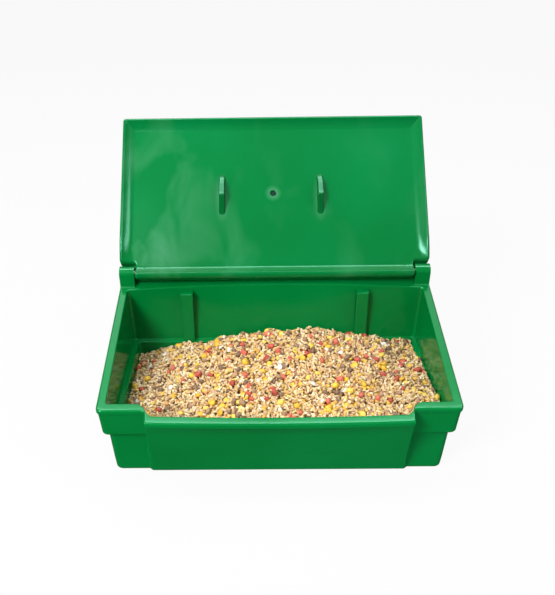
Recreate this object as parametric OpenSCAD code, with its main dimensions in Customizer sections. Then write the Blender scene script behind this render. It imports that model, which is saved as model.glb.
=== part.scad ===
// Rabbit hopper feeder: a two-tier open trough with a sloping rim and a
// shallow spout, and a hollow rain lid that swings on two steel pins.
// Millimetres. Origin: centre of the underside of the trough. +X to the
// right, +Y to the hinge side, +Z up. The lid is drawn open.

/* [Trough] */
// Width over the rim
rim_w = 400; // [360:1:440]
// Depth over the rim, without the spout
rim_d = 210; // [195:1:235]
// Height of the rim at the front
front_h = 99.5; // [90:0.5:115]
// Angle of the sloping rim, in degrees
rim_slope = 12.25; // [9:0.25:15]
// Width of the rim at the front and the sides
rim_t = 10.2; // [8.5:0.1:12]
// Depth of the lip that runs round under the rim
lip_h = 6; // [5:0.5:8]
// Overhang of the lip beyond the wall
lip_over = 1.2; // [0.6:0.1:2]
// Height of the step between the two tiers
step_h = 61; // [50:1:68]
// Width of the step
step_w = 5.6; // [4:0.1:7]
// Draft of the walls, in degrees
draft = 2.4; // [1:0.1:3.5]
// Thickness of the floor
floor_t = 6; // [4:0.5:8]
// Extra width of the rim along the hinge side
land_w = 13; // [10:0.5:16]
// How far the back wall bows out at its middle, at the rim
back_bow = 8.2; // [0:0.1:9]

/* [Spout] */
// How far the spout stands out at the rim
spout_out = 16.5; // [10:0.5:22]
// How far the spout stands out at the foot
spout_foot = 3; // [1:0.5:6]
// Swell of the spout's lip at its middle
spout_swell = 2.4; // [0:0.1:4]
// Half width of the spout's front at the rim
spout_w = 145; // [120:1:155]

/* [Back ribs] */
// Distance from the middle to each upright rib
rib_x = 113.4; // [90:0.1:130]
// Width of each rib
rib_w = 16; // [12:0.5:20]

/* [Hinge] */
// Height of the pin axis above the rim, square to the rim
axis_h = 13.5; // [13:0.1:15]
// Width of each ear
ear_w = 19; // [16:0.5:22]
// Radius of the rounded top of each ear
ear_r = 8.75; // [7.5:0.05:9.5]
// Radius of the hinge pins
pin_r = 2.5; // [2:0.1:3]
// Radial clearance of the pins in the lid
pin_gap = 0.06; // [0.03:0.01:0.09]
// Lean of the open lid, back from upright, in degrees
lid_lean = 42; // [38:0.5:46]

/* [Lid] */
// Length from the pin axis to the front edge
lid_len = 209.5; // [205:0.5:212]
// Width of the lid
lid_w = 399.2; // [380:0.2:402]
// Height of the lip's crest above the pin axis, on the inner side
crest_z = 12.5; // [12:0.1:12.6]
// Level of the outer skin below the pin axis
skin_z = 7; // [6:0.5:9]
// Crown of the outer skin at its middle
crown = 2.5; // [0:0.5:4]
// Level of the recessed panel above the pin axis
panel_z = 5; // [4:0.5:7]
// Thickness of the lid's walls
lid_t = 3; // [2.5:0.1:3]
// Radius of the vent hole
vent_r = 4; // [2.5:0.1:5]
// Distance from the middle to the left hook
left_hook_x = 67.3; // [50:0.1:90]
// Distance from the middle to the right hook
right_hook_x = 61.7; // [50:0.1:90]
// Thickness of each hook
hook_w = 7; // [5:0.5:9]

/* [Feed] */
// Lowest height of the heap of feed
feed_h = 57; // [30:1:60]
// Extra height of the ridge of the heap
feed_ridge = 20; // [0:1:24]

/* [Hidden] */
green = [0.0, 0.5, 0.24];
deep_green = [0.0, 0.45, 0.21];
steel = [0.75, 0.75, 0.78];
grain = [0.83, 0.66, 0.4];

front_y = -rim_d / 2;
back_y = rim_d / 2;
half_w = rim_w / 2;
slope = tan(rim_slope);
lean_in = tan(draft);

// Rolled edges and blends
rim_r = 2.2;
edge_r = 1.5;
step_r = 4;
foot_r = 5;
well_r = 6;
corner_r = 7;
inner_r = 4;
// Fall of the step and of the ledge, so that they shed feed
step_fall = 0.4;

// Distances of the walls in from the rim's outer edge
upper_in = lip_over + (front_h - lip_h - step_h) * lean_in;
lower_in = upper_in + step_w;
foot_in = lower_in + step_h * lean_in;
ledge_z = step_h + 4;
wall_t = 9.4;
shelf_in = rim_t + 3.2;
well_in = shelf_in + step_w;
floor_in = well_in + (ledge_z - floor_t) * lean_in;

// The spout's side, where it leaves the front and where it meets the lip
turn_out = [spout_w, spout_w + 5.5];
turn_in = [spout_w - 8.4, spout_w + 12.6];

// Pin axis
axis_y = back_y - ear_r;
axis_z = rim_z(axis_y) + axis_h / cos(rim_slope);
ear_in = half_w - 0.5 - ear_w;
pin_len = ear_w + 19;

// Lid plan, with y from the pin axis towards the front edge
lid_hw = lid_w / 2;
notch_x = ear_in - 1.3;
notch_y = ear_r + 0.65;
rear_y = -9.2;
rear_r = 6.2;
crest_r = 2.5;
cove_in = 3;
cove_w = 13;

function rim_z(y) = front_h + (y - front_y) * slope;
function smooth(t) = t * t * (3 - 2 * t);
function mix(a, b, t) = a + (b - a) * t;
function arc(cx, cy, r, a0, a1, n = 4) =
    [for (k = [0:n]) let (a = mix(a0, a1, k / n)) [cx + r * cos(a), cy + r * sin(a)]];
function both_sides(half) =
    concat(half, [for (k = [len(half) - 2:-1:1]) [-half[k][0], half[k][1]]]);

// Outline of the trough at one level, from the middle of the front round to
// the right: side half width, front, back and spout lines, and the turns
function trough_outline(side, front, back, bow, spout, swell, turn, r) = both_sides(concat(
    [for (k = [0:4]) let (x = turn[0] * k / 5) [x, spout - swell * (1 - pow(x / turn[0], 2))]],
    [for (k = [0:7]) let (t = k / 7)
        [mix(turn[0], turn[1], t), mix(spout, front, smooth(t))]],
    arc(side - r, front + r, r, -90, 0),
    arc(side - r, back - r, r, 0, 90),
    [for (k = [1:7]) let (x = (side - r) * (1 - k / 7))
        [x, back + bow * (1 - pow(x / (side - r), 2))]]));

// Front face of the spout at height z, which slopes back to the foot
function spout_face(z) = mix(
    front_y + foot_in - spout_foot,
    front_y - spout_out + lip_over,
    z / (front_h - lip_h));

// A ring at one height. inside says which side of the wall it is on, and
// tuck is how much further in than the wall the ring lies
function level_ring(inset, z, inside, tuck = 0) = [
    for (p = trough_outline(
        half_w - inset, front_y + inset, back_y - inset - land_w, 0,
        spout_face(z) + (inside ? wall_t : 0) + tuck, 0,
        inside ? turn_in : turn_out, inside ? inner_r : corner_r)) [p[0], p[1], z]];

// A ring that lies along the sloping rim, at a depth below it
function rim_ring(inset, depth, land, bow) = [
    for (p = trough_outline(
        half_w - inset, front_y + inset, back_y - inset - land, bow,
        front_y - spout_out + inset, spout_swell,
        [for (k = [0, 1]) mix(turn_out[k], turn_in[k], inset / rim_t)],
        mix(corner_r, inner_r, inset / rim_t))) [p[0], p[1], rim_z(p[1]) - depth]];

// Middle of a ring of points
function middle(ring) = [for (p = ring) 1] * ring / len(ring);

// Closed solid through a stack of rings that all have the same point count
module skin(rings) {
    n = len(rings[0]);
    last = (len(rings) - 1) * n;
    polyhedron(
        points = concat(
            [for (r = rings) each r],
            [middle(rings[0]), middle(rings[len(rings) - 1])]),
        faces = concat(
            [for (k = [0:n - 1]) [last + n, k, (k + 1) % n]],
            [for (j = [0:len(rings) - 2], k = [0:n - 1])
                let (a = j * n + k, b = j * n + (k + 1) % n)
                each [[a, a + n, b + n], [a, b + n, b]]],
            [for (k = [0:n - 1]) [last + n + 1, last + (k + 1) % n, last + k]]));
}

// Solid of a side profile [y, z], spread w wide about x
module slab(x, w, profile) {
    translate([x - w / 2, 0, 0])
        rotate([90, 0, 90])
            linear_extrude(w) polygon(profile);
}

module trough_shell() {
    skin(concat(
        [for (a = [0:30:90]) level_ring(
            foot_in + foot_r * (1 - sin(a)), foot_r * (1 - cos(a)), false,
            foot_r * (1 - sin(a)))],
        [level_ring(lower_in, step_h - step_fall, false)],
        [for (a = [0:30:90]) level_ring(
            upper_in + step_r * (1 - sin(a)), step_h + step_r * (1 - cos(a)), false)],
        [rim_ring(lip_over, lip_h, land_w, back_bow),
         rim_ring(lip_over / 2, lip_h, 0, 0)],
        [for (d = [lip_h - 0.8, rim_r]) rim_ring(0, d, 0, 0)],
        [for (a = [30:30:90]) rim_ring(rim_r * (1 - cos(a)), rim_r * (1 - sin(a)), 0, 0)],
        [for (a = [0:45:90]) rim_ring(
            rim_t - edge_r * (1 - sin(a)), edge_r * (1 - cos(a)), land_w, back_bow)],
        [for (a = [0:45:90]) level_ring(
            shelf_in + edge_r * (1 - cos(a)), ledge_z + edge_r * (1 - sin(a)), true)],
        [for (a = [0:45:90]) level_ring(
            well_in - edge_r * (1 - sin(a)),
            ledge_z - step_fall - edge_r * (1 - cos(a)), true)],
        [for (a = [0:30:90]) level_ring(
            floor_in + well_r * (1 - cos(a)), floor_t + well_r * (1 - sin(a)), true,
            well_r * (1 - cos(a)))]));
}

// Inner face of the lower tier's back wall at height z, which the ribs continue
function well_back(z) = back_y - land_w - well_in + (z - ledge_z) * lean_in;

module back_rib(x) {
    rib_top = rim_z(well_back(ledge_z)) - 2.6;
    slab(x, rib_w, [
        [well_back(ledge_z) - 0.1, ledge_z - 3],
        [well_back(rib_top) - 0.1, rib_top],
        [well_back(rib_top) + 14, rib_top],
        [well_back(ledge_z) + 9, ledge_z - 3]]);
}

module ear(side) {
    foot_z = rim_z(axis_y - ear_r) - lip_h + 1;
    translate([side * (ear_in + ear_w / 2) - ear_w / 2, axis_y, 0])
        rotate([90, 0, 90])
            linear_extrude(ear_w) union() {
                translate([0, axis_z]) circle(r = ear_r, $fn = 64);
                translate([-ear_r, foot_z]) square([2 * ear_r, axis_z - foot_z]);
            }
}

// Gusset under the overhanging rim, below each ear
module ear_gusset(side) {
    under = lip_h - 1;
    wall_y = back_y - land_w - upper_in - 2;
    slab(side * (ear_in + ear_w / 2), 9, [
        [wall_y, rim_z(wall_y) - under],
        [back_y - 2, rim_z(back_y - 2) - under],
        [back_y - 2, rim_z(back_y - 2) - lip_h - 2],
        [wall_y, rim_z(wall_y) - 34]]);
}

module trough() {
    color(deep_green)
    difference() {
        union() {
            trough_shell();
            for (side = [-1, 1]) {
                back_rib(side * rib_x);
                ear(side);
                ear_gusset(side);
            }
        }
        for (side = [-1, 1]) {
            translate([side * (ear_in + ear_w / 2), axis_y, axis_z])
                rotate([0, 90, 0])
                    cylinder(h = ear_w + 2, r = pin_r, center = true, $fn = 48);
        }
    }
}

// Line of the notch for the ear, whose wall slopes away from the ear
function notch_line(z) = notch_y + 0.5 * max(z + 3, 0);

// Outline of the lid, drawn in from its edge by inset, with its rear edge at
// rear and the far edge of its notches at notch
function lid_outline(inset, rear, notch) =
    let (r = max(4 - inset, 1), hollow_r = min(3.6 + inset, 13),
         x = notch_x - inset, side = lid_hw - inset)
    both_sides(concat(
        [[0, rear]],
        arc(x - r, rear + r, r, -90, 0),
        arc(x + hollow_r, notch - hollow_r, hollow_r, 180, 90),
        [for (k = [1:3]) [mix(x + hollow_r, side - r, k / 4), notch]],
        arc(side - r, notch + r, r, -90, 0),
        arc(side - r, lid_len - inset - r, r, 0, 90),
        [[0, lid_len - inset]]));

// Ring at one height
function lid_ring(inset, z, rear, notch) =
    [for (p = lid_outline(inset, rear, notch)) [p[0], p[1], z]];

// Height of the lip at a distance d in from an edge, 1 at the crest
function lip(d) = pow(1 - min(max((d - cove_in) / cove_w, 0), 1), 1.5);

// Height of the inner face: a lip along the edges that slopes to the panel and
// is lower at the sides, beside the notches
function inner_z(p) =
    let (low = mix(0.3, 1, smooth(min(max((p[1] - notch_y) / 30, 0), 1))))
    panel_z + (crest_z - panel_z) * max(
        low * lip(lid_hw - abs(p[0])),
        lip(lid_len - p[1]),
        lip((p[1] - rear_y - rear_r) / 0.72 + crest_r));

// Ring on the inner face
function inner_ring(inset, drop, rear, notch) =
    [for (p = lid_outline(inset, rear, notch)) [p[0], p[1], inner_z(p) - drop]];

// Ring on the wall, a share t of the way up from the outer skin's rounded edge
function wall_ring(t) =
    let (low = 4 - skin_z, z = mix(low, crest_z - crest_r, t))
    [for (p = lid_outline(0, rolled_rear(z), notch_line(mix(low, panel_z - crest_r, t))))
        [p[0], p[1], mix(low, inner_z(p) - crest_r, t)]];

// The rear edge is rolled about a centre beside the pin axis
function rolled_rear(z) =
    let (centre = crest_z - rear_r)
    rear_y + rear_r - sqrt(max(rear_r * rear_r - pow(max(z - centre, 0), 2), 0));

module lid_solid() {
    skin(concat(
        [for (k = [[60, 1], [30, 0.7], [10, 0.25]]) lid_ring(
            k[0], -skin_z - k[1] * crown, rear_y + k[0], notch_line(-skin_z) + k[0])],
        [for (a = [0:30:90]) let (q = 4 * (1 - sin(a)), z = 4 * (1 - cos(a)) - skin_z)
            lid_ring(q, z, rear_y + q, notch_line(z) + q / 4)],
        [for (t = [0.5, 0.8]) wall_ring(t)],
        [for (a = [0:30:90]) let (q = crest_r * (1 - cos(a)), drop = crest_r * (1 - sin(a)))
            inner_ring(q, drop, rolled_rear(crest_z - drop), notch_line(panel_z - drop) + q)],
        [for (d = [1.5, 3, 5, 7.5, 10.5, 14.5]) let (q = crest_r + d)
            inner_ring(q, 0, rear_y + rear_r + 0.8 * d, notch_line(panel_z) + q)]));
}

// Space inside the hollow lid, clear of the pins
module lid_cavity() {
    inset = cove_in + cove_w + 1;
    skin([
        lid_ring(inset, lid_t - skin_z, rear_y + inset, notch_y + inset),
        lid_ring(inset, panel_z - lid_t, rear_y + inset, notch_y + inset)]);
}

// Bead on the outer skin that lands on the trough's back rim and stops the
// open lid. Its flat face is square to the line from the pin to the rim
module stop_bead() {
    reach = axis_h - 0.35;
    turn = lid_lean + rim_slope;
    foot = [-cos(turn) * reach, -sin(turn) * reach];
    along = [-sin(turn), cos(turn)];
    slab(0, 2 * notch_x - 8, [
        [rear_y, 0],
        foot + 1.8 * along,
        foot - 4.2 * along,
        [9, -skin_z - 0.4],
        [9, 0]]);
}

// Hook on the inner face: a long ramp up to a peak, then a stepped tail
module hook(x) {
    base = panel_z - 1;
    translate([x, 0, 0]) slab(0, hook_w, [
        [75.5, base],
        [97.8, panel_z + 13.6],
        [100, panel_z + 13.9],
        [102, panel_z + 13.1],
        [119.2, panel_z + 9.1],
        [120.5, panel_z + 5.2],
        [128, panel_z + 3],
        [129.3, base]]);
}

module lid_flat() {
    difference() {
        union() {
            difference() {
                lid_solid();
                lid_cavity();
            }
            stop_bead();
            hook(-left_hook_x);
            hook(right_hook_x);
        }
        translate([0, lid_len / 2, 0]) cylinder(h = panel_z + 1, r = vent_r, $fn = 48);
        for (side = [-1, 1])
            translate([side * (notch_x - 9), 0, 0])
                rotate([0, 90, 0])
                    cylinder(h = 24, r = pin_r + pin_gap, center = true, $fn = 48);
    }
}

module lid() {
    color(green)
    translate([0, axis_y, axis_z]) rotate([90 - lid_lean, 0, 0]) lid_flat();
}

module hinge_pin(side) {
    bevel = 0.6;
    color(steel)
    translate([side * (half_w - 0.5 - pin_len), axis_y, axis_z])
        rotate([0, side * 90, 0]) {
            cylinder(h = bevel, r1 = pin_r - bevel, r2 = pin_r, $fn = 48);
            translate([0, 0, bevel]) cylinder(h = pin_len - 2 * bevel, r = pin_r, $fn = 48);
            translate([0, 0, pin_len - bevel])
                cylinder(h = bevel, r1 = pin_r, r2 = pin_r - bevel, $fn = 48);
        }
}

module left_hinge_pin() { hinge_pin(-1); }

module right_hinge_pin() { hinge_pin(1); }

// Height of the heap of feed: a ridge towards the back, and a bank at the
// right of the front
function heap_z(x, y) =
    let (across = (x + half_w) / rim_w, deep = (y - front_y) / rim_d)
    feed_h + 9 * smooth(across)
    + feed_ridge * exp(-pow((x - 45) / 100, 2)) * mix(0.3, 1, deep)
    + 13 * exp(-pow((x - half_w) / 80, 2)) * (1 - deep);

module feed() {
    clear_in = floor_in + 0.8;
    foot = level_ring(clear_in + well_r, floor_t, true, well_r + 0.8);
    side = level_ring(clear_in, floor_t + well_r + 1, true, 0.8);
    color(grain)
    skin(concat(
        [foot, side],
        [for (s = [1, 0.85, 0.6, 0.3])
            [for (p = side) [p[0] * s, p[1] * s, heap_z(p[0] * s, p[1] * s)]]],
        [[for (p = side) [p[0] * 0.05, p[1] * 0.05, heap_z(0, 0)]]]));
}

trough();
lid();
left_hinge_pin();
right_hinge_pin();
feed();
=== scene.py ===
"""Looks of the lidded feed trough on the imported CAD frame, in metres. The lid is drawn open."""
import math

import bpy
import numpy as np
from mathutils import Matrix, Vector
from mathutils.geometry import tessellate_polygon


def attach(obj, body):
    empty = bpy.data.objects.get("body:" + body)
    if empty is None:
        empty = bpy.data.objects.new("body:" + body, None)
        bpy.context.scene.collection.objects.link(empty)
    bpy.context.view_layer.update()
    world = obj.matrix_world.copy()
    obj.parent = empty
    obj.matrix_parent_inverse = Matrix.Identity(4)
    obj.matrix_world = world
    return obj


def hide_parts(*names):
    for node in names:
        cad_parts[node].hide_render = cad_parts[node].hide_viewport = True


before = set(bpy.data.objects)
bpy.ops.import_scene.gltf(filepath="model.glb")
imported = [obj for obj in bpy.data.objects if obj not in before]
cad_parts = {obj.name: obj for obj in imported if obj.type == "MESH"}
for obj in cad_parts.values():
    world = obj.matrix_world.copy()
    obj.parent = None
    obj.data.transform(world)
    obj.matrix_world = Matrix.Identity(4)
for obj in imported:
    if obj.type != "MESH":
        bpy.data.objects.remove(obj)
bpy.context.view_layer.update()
MM = 0.001
rng = np.random.default_rng(11)


# ---------------------------------------------------------------- camera, lights, floor
CAMERA_PLACE = (-0.0234, -0.6635, 0.5882)
LOOK_DOWN, LOOK_RIGHT, ROLL = 30.68, -0.83, -0.98
SENSOR, LENS = 36, 43.82
SHIFT_X, SHIFT_Y = 0.0534, -0.0225
FLOOR_HALF, FLOOR_GAP = 40.0, 0.0004
BACKDROP_R, BACKDROP_H, BACKDROP_SIDES = 9.0, 9.0, 64

# name, place, aim, width, height, watts
LIGHTS = [
    ("key_left", (-1.1, -1.2, 1.45), (0, 0, 0.15), 0.7, 0.7, 50),
    ("over_back", (0.0, 1.0, 1.6), (0, 0, 0.1), 2.2, 0.4, 3),
    ("over_edges", (0.0, 0.16, 1.7), (0, 0, 0), 2.0, 0.28, 10),
    ("edge_glint", (0.0, 0.38, 1.8), (0, 0, 0.1), 2.6, 0.34, 38),
    ("soft_front_left", (-0.6, -0.9, 1.6), (0, 0.1, 0.2), 0.6, 0.5, 0.8),
    ("soft_back_left", (-0.45, 0.72, 1.5), (0, 0, 0.1), 0.7, 0.7, 2.6),
    ("soft_back_right", (0.55, 0.7, 1.5), (0, 0, 0.1), 0.6, 0.6, 0.8),
    ("side_right", (1.3, -0.5, 1.4), (0, 0.1, 0.2), 0.5, 0.5, 8),
    ("side_left", (-1.3, -0.25, 1.0), (0, 0.1, 0.2), 0.6, 0.6, 1),
    ("fill_front", (0.3, -2.2, 0.8), (0, 0, 0.1), 1.6, 0.9, 1),
]
# Lights that are seen only in the gloss, as the bright line along each rounded edge
GLOSS_ONLY = ("edge_glint",)


def make_camera():
    pitch, yaw, roll = (math.radians(a) for a in (LOOK_DOWN, LOOK_RIGHT, ROLL))
    ahead = Vector((math.sin(yaw) * math.cos(pitch), math.cos(yaw) * math.cos(pitch), -math.sin(pitch)))
    level = Vector((math.cos(yaw), -math.sin(yaw), 0))
    upright = level.cross(ahead)
    right = math.cos(roll) * level + math.sin(roll) * upright
    up = -math.sin(roll) * level + math.cos(roll) * upright
    data = bpy.data.cameras.new("camera")
    cam = bpy.data.objects.new("camera", data)
    bpy.context.scene.collection.objects.link(cam)
    m = Matrix((right, up, -ahead)).transposed().to_4x4()
    m.translation = Vector(CAMERA_PLACE)
    cam.matrix_world = m
    data.sensor_fit = "HORIZONTAL"
    data.sensor_width = SENSOR
    data.lens = LENS
    data.shift_x, data.shift_y = SHIFT_X, SHIFT_Y
    data.clip_start, data.clip_end = 0.02, 50
    data.dof.use_dof = False
    bpy.context.scene.camera = cam


def area_light(name, where, aim, width, height, watts):
    data = bpy.data.lights.new(name, "AREA")
    data.shape, data.size, data.size_y = "RECTANGLE", width, height
    data.energy = watts
    o = bpy.data.objects.new(name, data)
    bpy.context.scene.collection.objects.link(o)
    o.location = where
    o.rotation_mode = "QUATERNION"
    o.rotation_quaternion = (Vector(aim) - Vector(where)).to_track_quat("-Z", "Y")
    o.visible_diffuse = name not in GLOSS_ONLY


def make_room_light():
    """Light from all round: pale above, dim at eye level and below."""
    world = bpy.data.worlds.new("studio")
    bpy.context.scene.world = world
    world.use_nodes = True
    nodes, links = world.node_tree.nodes, world.node_tree.links
    coord = nodes.new("ShaderNodeTexCoord").outputs["Generated"]
    split = nodes.new("ShaderNodeSeparateXYZ")
    links.new(coord, split.inputs[0])
    room = ramp(nodes, [(0.0, (0.03,) * 3), (0.3, (0.12,) * 3), (1.0, (0.38,) * 3)])
    links.new(split.outputs["Z"], room.inputs["Fac"])
    links.new(room.outputs["Color"], nodes["Background"].inputs["Color"])
    nodes["Background"].inputs["Strength"].default_value = 1.0


def white_stage(o, name, grey, glow, *unseen_by):
    """Makes o a self-lit white piece of the stage, which the named kinds of ray don't see."""
    white, b, _, _ = new_material(name)
    b.inputs["Base Color"].default_value = (grey, grey, grey, 1)
    b.inputs["Emission Color"].default_value = (1, 1, 1, 1)
    b.inputs["Emission Strength"].default_value = glow
    b.inputs["Roughness"].default_value = 1.0
    b.inputs["Specular IOR Level"].default_value = 0.0
    o.data.materials.append(white)
    for ray in unseen_by:
        setattr(o, "visible_" + ray, False)


def make_studio():
    for light in LIGHTS:
        area_light(*light)
    make_room_light()
    s, n = FLOOR_HALF, BACKDROP_SIDES
    floor = mesh_object("studio_floor", [(-s, -s, 0), (s, -s, 0), (s, s, 0), (-s, s, 0)], [(0, 1, 2, 3)])
    floor.location.z = -FLOOR_GAP
    white_stage(floor, "studio_white", 0.04, 0.93, "glossy")
    turns = [2 * math.pi * k / n for k in range(n)]
    ring = [(BACKDROP_R * math.cos(a), BACKDROP_R * math.sin(a)) for a in turns]
    wall = mesh_object("studio_backdrop", [(x, y, z) for z in (-0.5, BACKDROP_H) for x, y in ring],
                       [(k, k + n, (k + 1) % n + n, (k + 1) % n) for k in range(n)])
    white_stage(wall, "studio_paper", 0.0, 0.985, "glossy", "diffuse", "shadow", "transmission")
    view = bpy.context.scene.view_settings
    view.view_transform, view.look, view.exposure, view.gamma = "Standard", "None", 0.0, 1.0


# ---------------------------------------------------------------- mesh helpers
def mesh_object(name, verts, faces):
    mesh = bpy.data.meshes.new(name)
    mesh.from_pydata([tuple(v) for v in verts], [], [tuple(f) for f in faces])
    mesh.validate()
    mesh.update()
    o = bpy.data.objects.new(name, mesh)
    bpy.context.scene.collection.objects.link(o)
    return o


def smooth_piece(o, weighted=True):
    o.data.polygons.foreach_set("use_smooth", [True] * len(o.data.polygons))
    if weighted:
        m = o.modifiers.new("normals", "WEIGHTED_NORMAL")
        m.mode, m.weight, m.keep_sharp = "FACE_AREA", 60, False


def piece(o, body, slot, material, *replaced):
    o.data.materials.append(material)
    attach(o, body)
    if replaced:
        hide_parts(*replaced)
    return o


def smoothstep(t):
    t = min(max(t, 0.0), 1.0)
    return t * t * (3 - 2 * t)


def mix(a, b, t):
    return a + (b - a) * t


def arc(cx, cy, r, a0, a1, n):
    out = []
    for k in range(n + 1):
        a = math.radians(mix(a0, a1, k / n))
        out.append((cx + r * math.cos(a), cy + r * math.sin(a)))
    return out


def line(p, q, n):
    """n points after p up to and including q."""
    return [(mix(p[0], q[0], k / n), mix(p[1], q[1], k / n)) for k in range(1, n + 1)]


def both_sides(half):
    return half + [(-x, y) for x, y in half[-2:0:-1]]


def fillet(r, n):
    """What a quarter round of radius r takes off one way and the other, in n steps from (r, 0) to (0, r)."""
    turns = [math.radians(90 * k / n) for k in range(n + 1)]
    return [(r * (1 - math.sin(a)), r * (1 - math.cos(a))) for a in turns]


def loft(rings, cap_low=True, cap_high=True):
    """Verts and faces of a closed skin through rings of equal point count, in mm."""
    n = len(rings[0])
    verts = [p for r in rings for p in r]
    faces = []
    for j in range(len(rings) - 1):
        for k in range(n):
            a, b = j * n + k, j * n + (k + 1) % n
            faces.append((a, b, b + n, a + n))
    for ring, base, flip in ((rings[0], 0, True), (rings[-1], (len(rings) - 1) * n, False)):
        if not (cap_low if flip else cap_high):
            continue
        c = len(verts)
        verts.append(tuple(sum(p[i] for p in ring) / n for i in range(3)))
        for k in range(n):
            f = (c, base + k, base + (k + 1) % n)
            faces.append(f[::-1] if flip else f)
    return verts, faces


def prism(loops, x0, x1):
    """Solid of a side profile in (y, z), with holes, between two x planes."""
    flat = [p for loop in loops for p in loop]
    tris = tessellate_polygon([[Vector((y, z, 0)) for y, z in loop] for loop in loops])
    n = len(flat)
    verts = [(x0, y, z) for y, z in flat] + [(x1, y, z) for y, z in flat]
    faces = []
    for t in tris:
        a, b, c = (flat[i] for i in t)
        ccw = (b[0] - a[0]) * (c[1] - a[1]) - (b[1] - a[1]) * (c[0] - a[0]) > 0
        t = tuple(t) if ccw else tuple(t)[::-1]
        faces.append(tuple(i + n for i in t))
        faces.append(t[::-1])
    start = 0
    for loop in loops:
        m = len(loop)
        area = sum(loop[k][0] * loop[(k + 1) % m][1] - loop[(k + 1) % m][0] * loop[k][1] for k in range(m))
        hole = loop is not loops[0]
        for k in range(m):
            a, b = start + k, start + (k + 1) % m
            f = (a, b, b + n, a + n)
            faces.append(f if (area > 0) != hole else f[::-1])
        start += m
    return verts, faces


# ---------------------------------------------------------------- materials
def new_material(name):
    mat = bpy.data.materials.new(name)
    mat.use_nodes = True
    nt = mat.node_tree
    return mat, nt.nodes["Principled BSDF"], nt.nodes, nt.links


def node(nodes, kind, **values):
    n = nodes.new(kind)
    for k, v in values.items():
        if k in n.inputs:
            n.inputs[k].default_value = v
        else:
            setattr(n, k, v)
    return n


def ramp(nodes, stops):
    n = nodes.new("ShaderNodeValToRGB")
    e = n.color_ramp.elements
    while len(e) < len(stops):
        e.new(0.5)
    for el, (pos, col) in zip(e, stops):
        el.position, el.color = pos, (*col, 1)
    return n


def set_inputs(n, **values):
    """Values for inputs whose names have spaces, given with underscores."""
    for k, v in values.items():
        n.inputs[k.replace("_", " ")].default_value = v


def combine(nodes, links, operation, a, b):
    n = node(nodes, "ShaderNodeMath", operation=operation)
    links.new(a, n.inputs[0])
    links.new(b, n.inputs[1])
    return n.outputs[0]


def green_plastic(name, shades, rough, marks=None):
    """Moulded plastic with a slow drift of colour and a fine grain. marks is a function that adds the nodes
    for pale patches, 0 to 1: on the lid, scuffs and painted sheen. They are also duller than the rest."""
    mat, b, nodes, links = new_material(name)
    coord = node(nodes, "ShaderNodeTexCoord").outputs["Object"]
    drift = node(nodes, "ShaderNodeTexNoise", Scale=6.0, Detail=2.0, Roughness=0.5)
    links.new(coord, drift.inputs["Vector"])
    tone = ramp(nodes, list(zip((0.3, 0.52, 0.75), shades)))
    links.new(drift.outputs["Fac"], tone.inputs["Fac"])
    colour, dullness, low, high = tone.outputs["Color"], drift.outputs["Fac"], 0.3, 0.7
    if marks:
        pale = marks(nodes, links, coord)
        whiten = node(nodes, "ShaderNodeMixRGB", blend_type="MIX", Color2=(0.20, 0.52, 0.33, 1))
        links.new(pale, whiten.inputs["Fac"])
        links.new(colour, whiten.inputs["Color1"])
        colour, dullness, low, high = whiten.outputs["Color"], pale, 0.0, 0.5
    links.new(colour, b.inputs["Base Color"])
    dull = node(nodes, "ShaderNodeMapRange")
    links.new(dullness, dull.inputs["Value"])
    set_inputs(dull, From_Min=low, From_Max=high, To_Min=rough[0], To_Max=rough[1])
    links.new(dull.outputs["Result"], b.inputs["Roughness"])
    grain = node(nodes, "ShaderNodeTexNoise", Scale=900.0, Detail=2.0, Roughness=0.6)
    wave = node(nodes, "ShaderNodeTexNoise", Scale=22.0, Detail=1.0, Roughness=0.4)
    for t in (grain, wave):
        links.new(coord, t.inputs["Vector"])
    broad = node(nodes, "ShaderNodeBump", Strength=0.08, Distance=0.002)
    fine = node(nodes, "ShaderNodeBump", Strength=0.04, Distance=0.0003)
    links.new(wave.outputs["Fac"], broad.inputs["Height"])
    links.new(grain.outputs["Fac"], fine.inputs["Height"])
    links.new(broad.outputs["Normal"], fine.inputs["Normal"])
    links.new(fine.outputs["Normal"], b.inputs["Normal"])
    b.inputs["Specular IOR Level"].default_value = 0.42
    b.inputs["Specular Tint"].default_value = (0.42, 1.0, 0.82, 1)
    return mat


def steel():
    mat, b, nodes, links = new_material("pin_steel")
    coord = node(nodes, "ShaderNodeTexCoord").outputs["Object"]
    turn = node(nodes, "ShaderNodeTexNoise", Scale=500.0, Detail=3.0)
    links.new(coord, turn.inputs["Vector"])
    r = node(nodes, "ShaderNodeMapRange")
    r.inputs["To Min"].default_value, r.inputs["To Max"].default_value = 0.18, 0.42
    links.new(turn.outputs["Fac"], r.inputs["Value"])
    links.new(r.outputs["Result"], b.inputs["Roughness"])
    b.inputs["Base Color"].default_value = (0.62, 0.62, 0.63, 1)
    b.inputs["Metallic"].default_value = 1.0
    return mat


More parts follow.
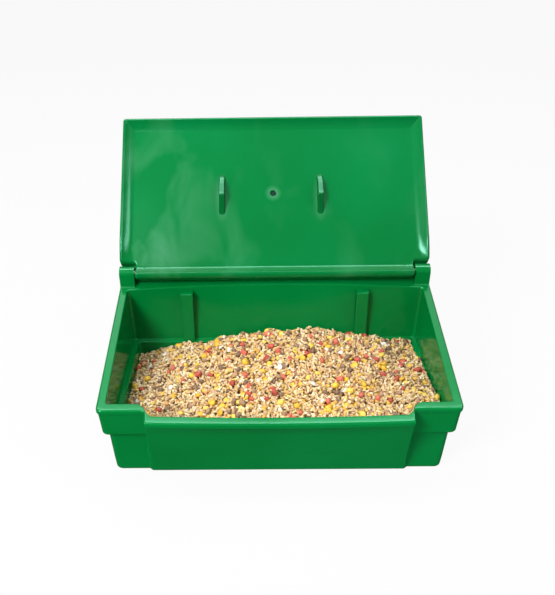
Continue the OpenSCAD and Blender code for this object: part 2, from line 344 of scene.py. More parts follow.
def grain_material(name, roughness, bump, speck):
    """Colour comes from each grain's own tint, with mottling."""
    mat, b, nodes, links = new_material(name)
    tint = node(nodes, "ShaderNodeAttribute", attribute_name="tint")
    coord = node(nodes, "ShaderNodeTexCoord").outputs["Object"]
    mottle = node(nodes, "ShaderNodeTexNoise", Scale=650.0, Detail=4.0, Roughness=0.65)
    links.new(coord, mottle.inputs["Vector"])
    shade = ramp(nodes, [(0.3, (1 - speck,) * 3), (0.55, (1.0, 1.0, 1.0))])
    links.new(mottle.outputs["Fac"], shade.inputs["Fac"])
    mul = node(nodes, "ShaderNodeMixRGB", blend_type="MULTIPLY", Fac=1.0)
    links.new(tint.outputs["Color"], mul.inputs["Color1"])
    links.new(shade.outputs["Color"], mul.inputs["Color2"])
    links.new(mul.outputs["Color"], b.inputs["Base Color"])
    bmp = node(nodes, "ShaderNodeBump", Strength=bump, Distance=0.0005)
    links.new(mottle.outputs["Fac"], bmp.inputs["Height"])
    links.new(bmp.outputs["Normal"], b.inputs["Normal"])
    b.inputs["Roughness"].default_value = roughness
    b.inputs["Specular IOR Level"].default_value = 0.3
    return mat


# ---------------------------------------------------------------- trough
# In mm, as in the CAD. Names with _IN are insets from the outer edge of the rim
FRONT_H, SLOPE_DEG, DRAFT_DEG = 99.5, 12.25, 2.4
SLOPE, LEAN = math.tan(math.radians(SLOPE_DEG)), math.tan(math.radians(DRAFT_DEG))
FRONT, BACK, HALF = -105.0, 105.0, 200.0
RIM_T, LIP_H, LIP_OVER, STEP_H, STEP_W, STEP_FALL = 10.2, 6.0, 1.2, 61.0, 5.6, 0.4
LAND, BOW = 13.0, 8.2
UPPER_IN = LIP_OVER + (FRONT_H - LIP_H - STEP_H) * LEAN
LOWER_IN = UPPER_IN + STEP_W
FOOT_IN = LOWER_IN + STEP_H * LEAN
LEDGE_Z, FLOOR = STEP_H + 4, 6.0
SHELF_IN = RIM_T + 3.2
WELL_IN = SHELF_IN + STEP_W
FLOOR_IN = WELL_IN + (LEDGE_Z - FLOOR) * LEAN
FOOT_R, STEP_R, SHOULDER_R, RIM_R = 5.0, 1.3, 3.8, 2.4
MOUTH_R, SHELF_R, LEDGE_R, WELL_R = 1.5, 2.0, 1.6, 6.0
SPOUT_OUT, SPOUT_W, SWELL, WALL, CREASE_Z = 16.5, 145.0, 2.4, 9.4, 34.0
# Where the front wall starts and ends its turn out to the spout
TURN_OUT, TURN_IN, TURN_LEN = (SPOUT_W, SPOUT_W + 5.5), (SPOUT_W - 8.4, SPOUT_W + 12.6), 21.0
RIB_X, RIB_W = 113.4, 16.0
EAR_R, EAR_IN, EAR_OUT, EAR_COVE, BORE_R = 8.75, 180.5, 199.5, 3.0, 2.56
GUSSET_X, GUSSET_W, GUSSET_H = 190, 9.0, 34
AXIS_UP = 13.5
AXIS_Y = BACK - EAR_R


def rim_z(y):
    return FRONT_H + (y - FRONT) * SLOPE


AXIS_Z = rim_z(AXIS_Y) + AXIS_UP / math.cos(math.radians(SLOPE_DEG))


def trough_outline(side, front, back, bow, spout, swell, inner, r, soft=0.0):
    """Plan of the trough at one level. inner is 0 on the outer side of the wall and 1 on the inner side, and
    soft is how far the spout's upright edges are rounded off."""
    x_in, x_out = (mix(a, b, inner) for a, b in zip(TURN_OUT, TURN_IN))
    half = [(x_in * k / 26, spout - swell * (1 - (k / 26) ** 2)) for k in range(25)]
    deep = front - spout
    # A crisp corner, then a nearly square return to the front wall
    crisp = (line((x_in - 1.6, spout), (x_in - 0.3, spout + 0.5), 2)
             + line((x_in - 0.3, spout + 0.5), (x_in + 0.15, spout + 1.8), 1)
             + line((x_in + 0.15, spout + 1.8), (x_in + 1.1, spout + deep * 0.84), 7)
             + line((x_in + 1.1, spout + deep * 0.84), (x_in + 2.0, front - 0.6), 3)
             + line((x_in + 2.0, front - 0.6), (x_out, front), 3))
    gentle = [(k + 1) / len(crisp) for k in range(len(crisp))]
    gentle = [(mix(x_in, x_out, t), mix(spout, front, smoothstep(t))) for t in gentle]
    w = max(inner, soft)
    half += [(mix(a[0], b[0], w), mix(a[1], b[1], w)) for a, b in zip(crisp, gentle)]
    half += line(half[-1], (side - r, front), 5)[:-1]
    half += arc(side - r, front + r, r, -90, 0, 9)
    half += line(half[-1], (side, back - r), 12)[:-1]
    half += arc(side - r, back - r, r, 0, 90, 9)
    x0 = side - r
    half += [(x0 * (1 - k / 30), back + bow * (1 - (1 - k / 30) ** 2)) for k in range(1, 31)]
    return both_sides(half)


def spout_face(z):
    """Front face of the spout, with a faint crease across it."""
    full = FRONT_H - LIP_H
    dent = 0.9 * np.minimum(z / CREASE_Z, (full - z) / (full - CREASE_Z))
    return mix(FRONT + FOOT_IN - 3.0, FRONT - SPOUT_OUT + LIP_OVER, z / full) + dent


def level_ring(inset, z, inside, tuck=0.0):
    """Level ring round the walls at height z. tuck moves the spout's face in at the foot."""
    pts = trough_outline(HALF - inset, FRONT + inset, BACK - inset - LAND, 0,
                         spout_face(z) + (WALL if inside else 0) + tuck, 0, 1.0 if inside else 0.0,
                         4.0 if inside else 7.0, min(max(1.15 - z / 48, 0.0), 1.0))
    return [(x, y, z) for x, y in pts]


def rim_ring(inset, depth, land, bow):
    """Ring parallel to the sloping rim, at a depth below it."""
    across = inset / RIM_T
    pts = trough_outline(HALF - inset, FRONT + inset, BACK - inset - land, bow, FRONT - SPOUT_OUT + inset,
                         SWELL, min(max(across, 0), 1), mix(6.5, 3.5, across))
    return [(x, y, rim_z(y) - depth) for x, y in pts]


def trough_shell():
    """Rings from the underside up the outer face, over the rim and down the inner face to the floor."""
    rings = [level_ring(FOOT_IN + q, up, False, q) for q, up in fillet(FOOT_R, 6)]
    for z in (16, CREASE_Z - 1.4, CREASE_Z, CREASE_Z + 1.4, 54):
        rings.append(level_ring(LOWER_IN + (STEP_H - z) * LEAN, z, False))
    for down, q in fillet(STEP_R, 3):
        rings.append(level_ring(LOWER_IN - q, STEP_H - STEP_FALL - down - 0.01, False))
    for q, up in fillet(SHOULDER_R, 6):
        rings.append(level_ring(UPPER_IN + q, STEP_H + up, False))
    for t in (0.25, 0.6):
        z = mix(STEP_H + SHOULDER_R, FRONT_H - LIP_H - 3, t)
        rings.append(level_ring(mix(UPPER_IN, LIP_OVER + 0.1, t), z, False))
    # Out under the lip of the rim and up its edge
    rings += [rim_ring(LIP_OVER, LIP_H + 0.8, LAND, BOW),
              rim_ring(LIP_OVER - 0.15, LIP_H + 0.2, LAND - 0.4, BOW),
              rim_ring(LIP_OVER - 0.4, LIP_H, LAND - 1.0, BOW * 0.9), rim_ring(0.5, LIP_H, 0.5, 0),
              rim_ring(0.14, LIP_H - 0.3, 0, 0), rim_ring(0, LIP_H - 0.9, 0, 0)]
    rings += [rim_ring(q, down, 0, 0) for down, q in fillet(RIM_R, 7)]
    rings.append(rim_ring(5.0, 0, LAND * 0.45, BOW * 0.45))
    rings += [rim_ring(RIM_T - q, down, LAND, BOW) for q, down in fillet(MOUTH_R, 5)]
    top, low = rim_ring(RIM_T, MOUTH_R, LAND, BOW), level_ring(SHELF_IN - 0.05, LEDGE_Z + 2.2, True)
    for t in (0.06, 0.5):
        rings.append([tuple(mix(p[i], q[i], t) for i in range(3)) for p, q in zip(top, low)])
    rings += [level_ring(SHELF_IN + q, LEDGE_Z + up, True) for up, q in fillet(SHELF_R, 5)]
    rings += [level_ring(WELL_IN - q, LEDGE_Z - STEP_FALL - down, True) for q, down in fillet(LEDGE_R, 5)]
    rings += [level_ring(FLOOR_IN + q, FLOOR + up, True, q) for up, q in fillet(WELL_R, 6)]
    return loft(rings)


def well_back(z):
    return BACK - LAND - WELL_IN + (z - LEDGE_Z) * LEAN


def back_rib(x):
    """Rib with rounded edges that stops just under the rim."""
    top, w = rim_z(well_back(LEDGE_Z)) - 2.6, RIB_W / 2
    heights = [(LEDGE_Z - 4, 0.0), (LEDGE_Z + 20, 0), (top - 30, 0), (top - 1.0, 0), (top - 0.35, 0.15),
               (top - 0.05, 0.55), (top, 1.1), (top + 0.1, 9.0)]
    rows = []
    for z, back in heights:
        y0 = well_back(min(z, top)) - 0.15 + back
        half = [(0.0, y0), (w - 1.6, y0), (w - 0.8, y0 + 0.12), (w - 0.2, y0 + 0.6), (w, y0 + 1.3),
                (w, y0 + 8)]
        full = half + [(-px, py) for px, py in half[-1:0:-1]]
        rows.append([(x + px, py, z) for px, py in full])
    return loft(rows)


def ear(side):
    """Ear round the pin, with a cove at its foot where it meets the rim."""
    rise = EAR_COVE / math.cos(math.radians(SLOPE_DEG))
    face = AXIS_Y - EAR_R
    fz = rim_z(face - EAR_COVE) + rise
    outer = [(BACK - 0.2, rim_z(BACK) - LIP_H + 1)]
    outer += arc(AXIS_Y, AXIS_Z, EAR_R, 0, 180, 28)
    outer += arc(face - EAR_COVE, fz, EAR_COVE, 0, SLOPE_DEG - 90, 8)
    outer += [(face - 3.2, rim_z(face - 3.2) - 1.5), (face + 2, rim_z(face) - LIP_H + 2)]
    x0, x1 = sorted((side * EAR_IN, side * EAR_OUT))
    return prism([outer, arc(AXIS_Y, AXIS_Z, BORE_R, 0, 360, 28)[:-1]], x0, x1)


def gusset(side):
    wall, edge = BACK - LAND - UPPER_IN - 2, BACK - 2
    pts = [(wall, rim_z(wall) - GUSSET_H), (edge, rim_z(edge) - LIP_H - 2), (edge, rim_z(edge) - LIP_H + 1),
           (wall, rim_z(wall) - LIP_H + 1)]
    return prism([pts], side * GUSSET_X - GUSSET_W / 2, side * GUSSET_X + GUSSET_W / 2)


def smooth_bevelled(o, width):
    o.data.polygons.foreach_set("use_smooth", [True] * len(o.data.polygons))
    m = o.modifiers.new("edge", "BEVEL")
    m.width, m.segments, m.limit_method, m.angle_limit = width * MM, 3, "ANGLE", math.radians(32)
    m.harden_normals = True


def in_metres(part):
    verts, faces = part
    return [(x * MM, y * MM, z * MM) for x, y, z in verts], faces


def make_trough():
    green = green_plastic("trough_green", ((0.0, 0.155, 0.027), (0.0, 0.175, 0.033), (0.0, 0.195, 0.040)),
                          (0.12, 0.19))
    shell = mesh_object("trough_shell", *in_metres(trough_shell()))
    smooth_piece(shell)
    piece(shell, "trough", "trough", green, "trough")
    for side, word in ((-1, "left"), (1, "right")):
        rib = mesh_object(word + "_back_rib", *in_metres(back_rib(side * RIB_X)))
        smooth_piece(rib)
        piece(rib, "trough", "trough", green)
        for name, part in (("_ear", ear(side)), ("_gusset", gusset(side))):
            o = mesh_object(word + name, *in_metres(part))
            smooth_bevelled(o, 0.9)
            piece(o, "trough", "trough", green)


# ---------------------------------------------------------------- lid
# Drawn in mm about the hinge axis: y towards the lid's free edge and z up from its inner face
LEAN_BACK = 42
LID_TURN = math.radians(90 - LEAN_BACK)
LID_UNTURN_SHIFT = tuple(-(Matrix.Rotation(-LID_TURN, 4, "X") @ Vector((0, AXIS_Y * MM, AXIS_Z * MM))))
LID_LEN, LID_HW, CORNER_R, OUTER_R = 209.5, 199.6, 4, 4
NOTCH_X, NOTCH_Y, NOTCH_R = 179.2, EAR_R + 0.65, 3.6
REAR_Y, REAR_R, CREST, PANEL, SKIN, CROWN = -9.2, 6.2, 12.5, 5.0, 7.0, 2.5
CREST_R, COVE_IN, COVE_W = 2.5, 3.0, 13.0
VENT_R, VENT_Y, VENT_SIDES = 4.0, LID_LEN / 2, 40
LEFT_HOOK_X, RIGHT_HOOK_X, HOOK_W, HOOK_FLARE, HOOK_R = -67.3, 61.7, 6.6, 1.8, 0.9
STOP_REACH = 13.15

# A pale halo round the vent and each hook, in metres on the flat lid: x, y, scale, radii between which it
# fades, strength
HALOS = [
    (0.0, 0.10475, (1, 1, 1), 0.0045, 0.0115, 0.17),
    (-0.0673, 0.099, (1, 0.3, 1), 0.0045, 0.0105, 0.12),
    (0.0617, 0.099, (1, 0.3, 1), 0.0045, 0.0105, 0.12),
]


def lid_scuffs_and_sheen(nodes, links, coord):
    """Where the lid is pale, 0 to 1: soft streaks, partly scuffs and partly painted sheen, most of all low on
    its left side, and the halos.
    """
    flat = node(nodes, "ShaderNodeMapping", Location=LID_UNTURN_SHIFT, Rotation=(-LID_TURN, 0, 0))
    links.new(coord, flat.inputs["Vector"])
    flat = flat.outputs["Vector"]
    stretch = node(nodes, "ShaderNodeMapping", Scale=(17.0, 9.0, 9.0))
    links.new(flat, stretch.inputs["Vector"])
    streak_noise = node(nodes, "ShaderNodeTexNoise", Scale=1.0, Detail=3.0, Roughness=0.5, Distortion=0.5)
    links.new(stretch.outputs["Vector"], streak_noise.inputs["Vector"])
    streak = ramp(nodes, [(0.5, (0, 0, 0)), (0.78, (1, 1, 1))])
    links.new(streak_noise.outputs["Fac"], streak.inputs["Fac"])
    split = node(nodes, "ShaderNodeSeparateXYZ")
    links.new(flat, split.inputs[0])
    # Painted sheen: the streaks are made strongest on the left of the lid and low on it, standing in for the
    # pale sheen of light there
    aside = node(nodes, "ShaderNodeMapRange")
    links.new(split.outputs["X"], aside.inputs["Value"])
    set_inputs(aside, From_Min=-0.2, From_Max=0.0, To_Min=0.27, To_Max=0.06)
    along = node(nodes, "ShaderNodeMapRange")
    links.new(split.outputs["Y"], along.inputs["Value"])
    set_inputs(along, From_Min=0.10, From_Max=0.19, To_Min=1.0, To_Max=0.35)
    strength = combine(nodes, links, "MULTIPLY", aside.outputs["Result"], along.outputs["Result"])
    total = combine(nodes, links, "MULTIPLY", streak.outputs["Color"], strength)
    for x, y, scale, near, far, amount in HALOS:
        place = node(nodes, "ShaderNodeMapping", Scale=scale,
                     Location=(-x * scale[0], -y * scale[1], -PANEL * MM * scale[2]))
        links.new(flat, place.inputs["Vector"])
        away = node(nodes, "ShaderNodeVectorMath", operation="LENGTH")
        links.new(place.outputs["Vector"], away.inputs[0])
        halo = node(nodes, "ShaderNodeMapRange")
        links.new(away.outputs["Value"], halo.inputs["Value"])
        set_inputs(halo, From_Min=near, From_Max=far, To_Min=amount, To_Max=0.0)
        total = combine(nodes, links, "ADD", total, halo.outputs["Result"])
    return total


def notch_line(z):
    """Line of the notch for the ear, whose wall slopes away from the ear."""
    return NOTCH_Y + 0.5 * max(z + 3, 0)


def lid_outline(inset, rear, notch):
    """Plan of the lid at one inset, with rear and notch the lines of its rear edge and of the notches."""
    r, hr = max(CORNER_R - inset, 1.0), min(NOTCH_R + inset, 13)
    x, side = NOTCH_X - inset, LID_HW - inset
    half = [(0, rear)] + line((0, rear), (x - r, rear), 24)[:-1] + arc(x - r, rear + r, r, -90, 0, 6)
    half += line(half[-1], (x, notch - hr), 3)[:-1] + arc(x + hr, notch - hr, hr, 180, 90, 8)
    half += line(half[-1], (side - r, notch), 4)[:-1] + arc(side - r, notch + r, r, -90, 0, 6)
    half += line(half[-1], (side, LID_LEN - inset - r), 16)[:-1]
    half += arc(side - r, LID_LEN - inset - r, r, 0, 90, 7)
    half += line(half[-1], (0, LID_LEN - inset), 26)
    return both_sides(half)


def lid_ring(inset, z, rear, notch):
    return [(x, y, z) for x, y in lid_outline(inset, rear, notch)]


def lip(d):
    """Height of the lip at a distance d in from an edge, 1 at the crest."""
    return (1 - min(max((d - COVE_IN) / COVE_W, 0.0), 1.0)) ** 1.5


def inner_z(x, y):
    """Height of the inner face: a lip along the edges that slopes to the panel, lower beside the notches."""
    low = mix(0.3, 1, smoothstep((y - NOTCH_Y) / 30))
    return PANEL + (CREST - PANEL) * max(low * lip(LID_HW - abs(x)), lip(LID_LEN - y),
                                         lip((y - REAR_Y - REAR_R) / 0.72 + CREST_R))


def outer_z(x, y):
    """Height of the outer face, crowned both ways."""
    middle = (LID_LEN + REAR_Y) / 2
    u, v = x / (LID_HW - OUTER_R), (y - middle) / (LID_LEN - OUTER_R - middle)
    return -SKIN - CROWN * max(1 - u ** 4, 0) * max(1 - v ** 4, 0)


def inner_ring(inset, drop, rear, notch):
    return [(x, y, inner_z(x, y) - drop) for x, y in lid_outline(inset, rear, notch)]


def rolled_rear(z):
    """Line of the rear edge, which is rolled over towards the crest."""
    c = CREST - REAR_R
    return REAR_Y + REAR_R - math.sqrt(max(REAR_R ** 2 - max(z - c, 0) ** 2, 0))


def vent_skin(edge, start, base):
    """The panel inside the ring edge, with the vent through it. start and base are the indices of the first
    vertex of the ring and of the vent."""
    turns = [2 * math.pi * k / VENT_SIDES for k in range(VENT_SIDES)]
    levels = [(VENT_R + 1.0, PANEL), (VENT_R + 0.4, PANEL - 0.2), (VENT_R, PANEL - 0.9),
              (VENT_R - 0.4, PANEL - 9.0)]
    verts = [(r * math.cos(a), VENT_Y + r * math.sin(a), z) for r, z in levels for a in turns]
    m, n = VENT_SIDES, len(edge)
    index = [start + k for k in range(n)] + [base + k for k in range(m)]
    loops = [[Vector(p) for p in edge], [Vector(p) for p in verts[:m]]]
    flat = loops[0] + loops[1]
    faces = []
    for t in tessellate_polygon(loops):
        a, b, c = (flat[i] for i in t)
        t = tuple(t) if (b - a).cross(c - a).z > 0 else tuple(t)[::-1]
        faces.append(tuple(index[i] for i in t))
    for j in range(len(levels) - 1):
        for k in range(m):
            a, b = base + j * m + k, base + j * m + (k + 1) % m
            faces.append((a, b, b + m, a + m))
    faces.append(tuple(base + (len(levels) - 1) * m + k for k in range(m)))
    return verts, faces


def lid_shell():
    """Rings from the middle of the outer skin out to the edges, over the crest and down to the panel."""
    rings = []
    for inset in (96, 80, 60, 45, 30, 18, 8):
        outline = lid_outline(inset, REAR_Y + inset, notch_line(-SKIN) + inset)
        rings.append([(x, y, outer_z(x, y)) for x, y in outline])
    for q, up in fillet(OUTER_R, 6):
        rings.append(lid_ring(q, up - SKIN, REAR_Y + q, notch_line(up - SKIN) + q / 4))
    low = OUTER_R - SKIN
    for t in (0.2, 0.4, 0.6, 0.8, 0.93):
        rear, notch = mix(low, CREST - CREST_R, t), mix(low, PANEL - CREST_R, t)
        outline = lid_outline(0, rolled_rear(rear), notch_line(notch))
        rings.append([(x, y, mix(low, inner_z(x, y) - CREST_R, t)) for x, y in outline])
    for drop, q in fillet(CREST_R, 7):
        rings.append(inner_ring(q, drop, rolled_rear(CREST - drop), notch_line(PANEL - drop) + q))
    for d in (0.5, 1.2, 2.2, 3.2, 4.4, 5.8, 7.4, 9.0, 10.6, 12.0, 13.0, 13.8, 14.8):
        q = CREST_R + d
        rings.append(inner_ring(q, 0, REAR_Y + REAR_R + 0.8 * d, notch_line(PANEL) + q))
    verts, faces = loft(rings, cap_high=False)
    more_verts, more_faces = vent_skin(rings[-1], (len(rings) - 1) * len(rings[-1]), len(verts))
    return verts + more_verts, faces + more_faces


# y and height above the panel along a hook: a long ramp up to a peak, then a step down to a second tooth
HOOK_KNOTS = [
    (75.2, 0.0), (76.6, 0.5), (78.5, 1.5), (97.6, 13.2), (98.6, 13.8), (99.8, 13.9), (102.0, 13.1),
    (119.0, 9.2), (119.6, 8.7), (120.1, 5.6), (120.9, 5.0), (127.2, 3.1), (128.2, 2.2), (129.2, 0.6),
    (130.4, 0.0),
]


def hook_height(y):
    for (y0, h0), (y1, h1) in zip(HOOK_KNOTS, HOOK_KNOTS[1:]):
        if y0 <= y <= y1:
            return mix(h0, h1, (y - y0) / (y1 - y0))


def hook(x0):
    """Hook on the lid's inner face, with rounded edges, flared into the panel at its foot."""
    ys = []
    for (y0, _), (y1, _) in zip(HOOK_KNOTS, HOOK_KNOTS[1:]):
        n = max(1, int((y1 - y0) / 2.5))
        ys += [mix(y0, y1, k / n) for k in range(n)]
    ys.append(HOOK_KNOTS[-1][0])
    rows = []
    for y in ys:
        h = max(hook_height(y), 0.02)
        w = 1.0 if 78 < y < 128 else 0.75
        r = min(HOOK_R, h * 0.3)
        side = [(w * (HOOK_W / 2 + q), min(up, h * 0.55)) for q, up in fillet(HOOK_FLARE, 5)]
        side += [(w * (HOOK_W / 2 - q), h - down) for down, q in fillet(r, 4)]
        ring = side + [(-px, pz) for px, pz in side[::-1]]
        rows.append([(x0 + px, y, PANEL - 0.3 + pz) for px, pz in ring])
    verts, faces = loft(rows)
    return verts, [f[::-1] for f in faces]


def stop_bead():
    """Bead under the rear edge, with a flat that lies on the trough's land when the lid is fully open."""
    turn = math.radians(LEAN_BACK + SLOPE_DEG)
    fy, fz = -math.cos(turn) * STOP_REACH, -math.sin(turn) * STOP_REACH
    ay, az = -math.sin(turn), math.cos(turn)
    pts = [(REAR_Y + 0.02, 0), (fy + 1.8 * ay, fz + 1.8 * az), (fy - 4.2 * ay, fz - 4.2 * az),
           (9, -SKIN - 0.4), (9, -SKIN + 1.5), (0, 0)]
    return prism([pts], -NOTCH_X + 4, NOTCH_X - 4)


def vent_shade_cup():
    """Painted shade: a near-black cup in the vent, standing in for the dark of the hollow lid seen through
    it.
    """
    turns = [2 * math.pi * k / 32 for k in range(32)]
    levels = ((3.3, PANEL - 8.8), (3.5, PANEL - 8.6), (3.5, PANEL - 1.9), (3.3, PANEL - 1.7))
    return loft([[(r * math.cos(a), VENT_Y + r * math.sin(a), z) for a in turns] for r, z in levels])


def make_lid():
    # Painted shade: the lid's green is a darker copy of the trough's, holding back the extra light that falls
    # on the lid
    green = green_plastic("lid_shaded_green", ((0.0, 0.138, 0.025), (0.0, 0.156, 0.032), (0.0, 0.175, 0.041)),
                          (0.18, 0.34), lid_scuffs_and_sheen)
    # Painted shade: a darker copy of the lid's green for the hooks, whose faces lie in shade
    shaded_hook_green = green_plastic("shaded_hook_green", ((0.0, 0.100, 0.018), (0.0, 0.115, 0.022), (0.0, 0.130, 0.028)),
                               (0.2, 0.3))
    # Painted shade: near-black green for the cup in the vent, for the dark inside the hollow lid
    inside = green_plastic("vent_painted_shade", ((0.0, 0.006, 0.001), (0.0, 0.007, 0.002), (0.0, 0.008, 0.002)),
                           (0.7, 0.8))
    place = Matrix.Translation((0, AXIS_Y * MM, AXIS_Z * MM)) @ Matrix.Rotation(LID_TURN, 4, "X")
    parts = [("lid_shell", lid_shell(), green), ("left_hook", hook(LEFT_HOOK_X), shaded_hook_green),
             ("right_hook", hook(RIGHT_HOOK_X), shaded_hook_green), ("stop_bead", stop_bead(), green),
             ("vent_shade_cup", vent_shade_cup(), inside)]
    for name, part, look in parts:
        o = mesh_object(name, *in_metres(part))
        o.data.transform(place)
        if name == "stop_bead":
            smooth_bevelled(o, 1.2)
        else:
            smooth_piece(o)
        piece(o, "lid", "lid", look, *(["lid"] if name == "lid_shell" else []))


# ---------------------------------------------------------------- feed
def heap(x, y):
    """Height of the heap: highest at the back, right of the middle, with a bank at the right front."""
    back = 47 + 15 * np.clip((x + 182) / 60, 0, 1) + 21 * np.exp(-((x - 35) / 80) ** 2)
    back = back + 6 * np.exp(-((x - 130) / 16) ** 2) + 5 * np.exp(-((x + 62) / 30) ** 2)
    front = 60 + 20 * np.clip((x - 20) / 160, 0, 1) ** 1.4
    t = np.clip((73 - y) / 175, 0, 1)
    ripple = 1.6 * np.sin(x / 17.0 + y / 23.0) + 1.2 * np.sin(x / 9.0 - y / 13.0 + 1.3)
    return back + (front - back) * t + ripple


def inner_front(x, z):
    """y of the inner face of the front wall in the lower tier, spout included."""
    near = spout_face(z) + WALL
    t = np.clip((np.abs(x) - TURN_IN[0]) / TURN_LEN, 0, 1)
    return near + (FRONT + WELL_IN - near) * t * t * (3 - 2 * t)


def in_trough(x, y, z, room):
    """Is the point at least room inside the walls? The trough widens by its ledge between the tiers."""
    over = STEP_W * np.clip((z - LEDGE_Z + 2) / 5, 0, 1)
    side, back = 180.7 + over - room, 73.2 + over - room
    return (np.abs(x) < side) & (y < back) & (y > inner_front(x, z) - over / 2 + room)


def grain_shape(length, width, thick, around=7, along=6, blunt=0.62, crease=0.16):
    """Whole grain, blunt at its ends, with a crease along one side."""
    verts = [(-length / 2, 0, 0)]
    for j in range(1, along):
        u = j / along
        s = math.sin(math.pi * u) ** blunt
        for k in range(around):
            a = 2 * math.pi * k / around
            dent = 1 - crease * max(0, math.cos(a - math.pi / 2)) ** 6
            verts.append((length * (u - 0.5), width / 2 * s * math.cos(a),
                          thick / 2 * s * math.sin(a) * dent))
    verts.append((length / 2, 0, 0))
    faces = []
    for k in range(around):
        n = (k + 1) % around
        faces.append((0, 1 + n, 1 + k))
        for j in range(along - 2):
            a, b = 1 + j * around + k, 1 + j * around + n
            faces += [(a, b, b + around), (a, b + around, a + around)]
        last = 1 + (along - 2) * around
        faces.append((last + k, last + n, len(verts) - 1))
    return np.array(verts), np.array(faces)


def pellet_shape(length, width, around=9):
    """Short pressed cylinder with broken edges."""
    verts = [(-length / 2, 0, 0)]
    for x, s in ((-0.5, 0.72), (-0.42, 1.0), (0.0, 1.02), (0.42, 1.0), (0.5, 0.72)):
        for k in range(around):
            a = 2 * math.pi * k / around
            verts.append((x * length, width / 2 * s * math.cos(a), width / 2 * s * math.sin(a)))
    verts.append((length / 2, 0, 0))
    faces = []
    for k in range(around):
        n = (k + 1) % around
        faces.append((0, 1 + n, 1 + k))
        for j in range(4):
            a, b = 1 + j * around + k, 1 + j * around + n
            faces += [(a, b, b + around), (a, b + around, a + around)]
        faces.append((1 + 4 * around + k, 1 + 4 * around + n, len(verts) - 1))
    return np.array(verts), np.array(faces)


# share, piece, shape, size spread, tints
KINDS = [
    (0.66, "cereal", grain_shape(5.7, 3.1, 2.7, around=6, along=5, blunt=0.55), 0.17,
     [(0.70, 0.49, 0.24), (0.76, 0.57, 0.33), (0.62, 0.40, 0.17), (0.82, 0.67, 0.45), (0.56, 0.33, 0.14),
      (0.72, 0.50, 0.20), (0.66, 0.44, 0.24)]),
    (0.17, "cereal", grain_shape(7.4, 2.6, 2.2, around=6, along=5, blunt=0.6), 0.16,
     [(0.80, 0.66, 0.44), (0.74, 0.57, 0.34), (0.64, 0.43, 0.20)]),
    (0.016, "flake", grain_shape(8.6, 7.2, 4.6, around=10, along=7, blunt=0.48, crease=0), 0.2,
     [(0.76, 0.47, 0.04), (0.80, 0.56, 0.09), (0.70, 0.40, 0.03)]),
    (0.06, "flake", grain_shape(5.8, 4.6, 2.8, around=8, along=6, blunt=0.5, crease=0), 0.24,
     [(0.76, 0.52, 0.10), (0.70, 0.42, 0.08), (0.78, 0.62, 0.30), (0.66, 0.38, 0.10)]),
    (0.009, "pellet", pellet_shape(6.9, 5.8), 0.18,
     [(0.54, 0.10, 0.06), (0.60, 0.15, 0.09), (0.46, 0.08, 0.05)]),
    (0.024, "pellet", pellet_shape(6.2, 4.9), 0.24,
     [(0.19, 0.11, 0.065), (0.26, 0.16, 0.10), (0.36, 0.20, 0.11), (0.42, 0.25, 0.14)]),
    (0.005, "flake", grain_shape(8.0, 5.4, 2.6, around=10, along=7, blunt=0.5, crease=0), 0.15,
     [(0.84, 0.80, 0.72)]),
    (0.03, "pellet", grain_shape(4.6, 3.8, 3.3, around=6, along=5, crease=0), 0.2,
     [(0.62, 0.25, 0.08), (0.55, 0.30, 0.13), (0.44, 0.22, 0.10)]),
]


# Height map of the heap in cells of 1 mm, from its low corner. FAR marks the cells outside the trough
GRID_X, GRID_Y, GRID_NX, GRID_NY, FAR = -190, -118, 381, 200, 1e3
LAYER, CORE_DROP = 7.0, 7.4
GRAINS, TRIES_PER_GRAIN, CEREAL_PIECES = 15500, 3, 3
# Roughness, bump and speckle of each kind of grain
GRAIN_LOOKS = {"cereal": (0.5, 0.3, 0.16), "flake": (0.45, 0.3, 0.14), "pellet": (0.6, 0.5, 0.25)}


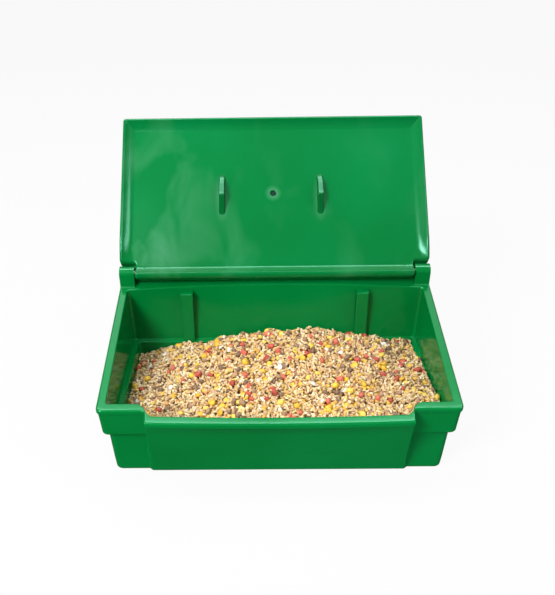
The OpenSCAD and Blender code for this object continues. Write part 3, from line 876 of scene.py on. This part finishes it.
def lay_grains():
    """Drops grains one by one on a height map of the heap, each lying on what is below it. Returns those that
    still show at the end, as lists of vertices, faces and tint for each kind of piece."""
    gx, gy = np.meshgrid(np.arange(GRID_NX) + GRID_X, np.arange(GRID_NY) + GRID_Y, indexing="ij")
    level = heap(gx, gy)
    high = np.where(in_trough(gx, gy, level, 0.0), level - LAYER, FAR)
    shares = np.cumsum([k[0] for k in KINDS])
    shares /= shares[-1]
    laid, left = [], GRAINS
    for _ in range(GRAINS * TRIES_PER_GRAIN):
        if left <= 0:
            break
        x, y = rng.uniform(-187, 187), rng.uniform(-112, 79)
        i, j = int(round(x - GRID_X)), int(round(y - GRID_Y))
        if not in_trough(x, y, level[i, j], 2.0) or high[i, j] > level[i, j] + 0.2:
            continue
        left -= 1
        _, word, (shape, faces), spread, tints = KINDS[int(np.searchsorted(shares, rng.random()))]
        size = 1 + spread * rng.uniform(-1, 1)
        length, width, thick = np.ptp(shape, axis=0) * size
        turn = rng.uniform(0, math.pi * 2)
        ca, sa = math.cos(turn), math.sin(turn)
        k = int(math.ceil(length / 2))
        box = np.s_[max(i - k, 0):min(i + k + 1, GRID_NX), max(j - k, 0):min(j + k + 1, GRID_NY)]
        px, py, cells = gx[box] - x, gy[box] - y, high[box]
        u, v = (px * ca + py * sa) / (length / 2), (-px * sa + py * ca) / (width / 2)
        under = (u * u + v * v < 1) & (cells < FAR / 2)
        if under.sum() < 4:
            continue
        # The plane under the grain gives its tilt
        h, ux, vy = cells[under], px[under], py[under]
        fit = np.linalg.lstsq(np.stack([ux, vy, np.ones_like(ux)], 1).astype(float), h, rcond=None)[0]
        tilt_x, tilt_y = np.clip(fit[:2] + rng.normal(0, 0.16, 2), -0.75, 0.75)
        z = max(fit[2], np.percentile(h, 60)) + thick * 0.30
        new = z + tilt_x * px + tilt_y * py + thick / 2 * np.sqrt(np.clip(1 - u * u - v * v, 0, 1))
        cells[under] = np.maximum(h, new[under])
        normal = Vector((-tilt_x, -tilt_y, 1)).normalized()
        along = Vector((ca, sa, tilt_x * ca + tilt_y * sa)).normalized()
        rot = np.array([along, normal.cross(along), normal]).T
        spin = rng.uniform(0, math.pi * 2) if thick > width * 0.7 else rng.normal(0, 0.15)
        cs, sn = math.cos(spin), math.sin(spin)
        local = shape * size * rng.uniform(0.92, 1.08, 3)
        bend = rng.uniform(-0.05, 0.05)
        local = local @ np.array([[1, 0, 0], [0, cs, -sn], [0, sn, cs]]).T
        local[:, 1] += bend * local[:, 0] ** 2 / 3
        uneven = 1 + rng.normal(0, 0.03, len(local))[:, None]
        pts = (local * uneven) @ rot.T + np.array([x, y, z])
        tint = np.array(tints[rng.integers(len(tints))]) * rng.uniform(0.92, 1.18)
        # Painted shade: grains are darker towards the side walls, which shade them
        tint *= 1 - 0.14 * smoothstep((abs(x) - 50) / 120)
        laid.append((word, (pts, faces, np.clip(tint, 0, 1)), box, under, new[under]))
    seen = {}
    for word, grain, box, under, top in laid:
        if (top > high[box][under] - 0.35).any():
            seen.setdefault(word, []).append(grain)
    return seen


def tint_points(mesh, rgba):
    at = mesh.color_attributes.new("tint", "FLOAT_COLOR", "POINT")
    at.data.foreach_set("color", np.asarray(rgba, dtype=np.float32).ravel())


def grains_object(name, grains):
    first = np.cumsum([0] + [len(pts) for pts, _, _ in grains[:-1]])
    verts = np.concatenate([pts for pts, _, _ in grains]) * MM
    faces = np.concatenate([f + n for (_, f, _), n in zip(grains, first)])
    tints = np.concatenate([np.repeat(tint[None], len(pts), 0) for pts, _, tint in grains])
    mesh = bpy.data.meshes.new(name)
    mesh.from_pydata(verts.tolist(), [], faces.tolist())
    mesh.polygons.foreach_set("use_smooth", [True] * len(mesh.polygons))
    tint_points(mesh, np.concatenate([tints, np.ones((len(tints), 1))], 1))
    mesh.update()
    o = bpy.data.objects.new(name, mesh)
    bpy.context.scene.collection.objects.link(o)
    return o


def feed_core():
    """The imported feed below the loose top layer."""
    rings = [level_ring(FLOOR_IN + 7, FLOOR + 0.1, True, 7.0),
             level_ring(FLOOR_IN + 1.0, FLOOR + 8, True, 1.0), level_ring(WELL_IN + 1.2, 36, True, 1.0)]
    edge = level_ring(WELL_IN + 1.2, 40, True, 1.0)
    for s in [1.0] + [0.985 - 0.045 * k for k in range(21)]:
        rings.append([(x * s, y * s, float(heap(x * s, y * s)) - CORE_DROP) for x, y, _ in edge])
    return loft(rings)


def make_feed():
    seen = lay_grains()
    looks = {word: grain_material("feed_" + word, *GRAIN_LOOKS[word]) for word in seen}
    for word, grains in seen.items():
        names = ["feed_cereal_" + c for c in "abc"[:CEREAL_PIECES]] if word == "cereal" else ["feed_" + word]
        for k, name in enumerate(names):
            piece(grains_object(name, grains[k::len(names)]), "trough", "feed", looks[word])
    core = mesh_object("feed_core", *in_metres(feed_core()))
    smooth_piece(core, False)
    # Painted shade: the core is tinted darker and warmer than the grains, and mottled more, for the shade in
    # the gaps between them
    tint_points(core.data, [(0.50, 0.30, 0.12, 1)] * len(core.data.vertices))
    piece(core, "trough", "feed", grain_material("feed_core_shade", 0.8, 0.9, 0.6), "feed")


def make_pins():
    metal = steel()
    for name in ("left_hinge_pin", "right_hinge_pin"):
        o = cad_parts[name]
        o.data.materials.clear()
        o.data.materials.append(metal)


make_camera()
make_studio()
make_trough()
make_lid()
make_pins()
make_feed()
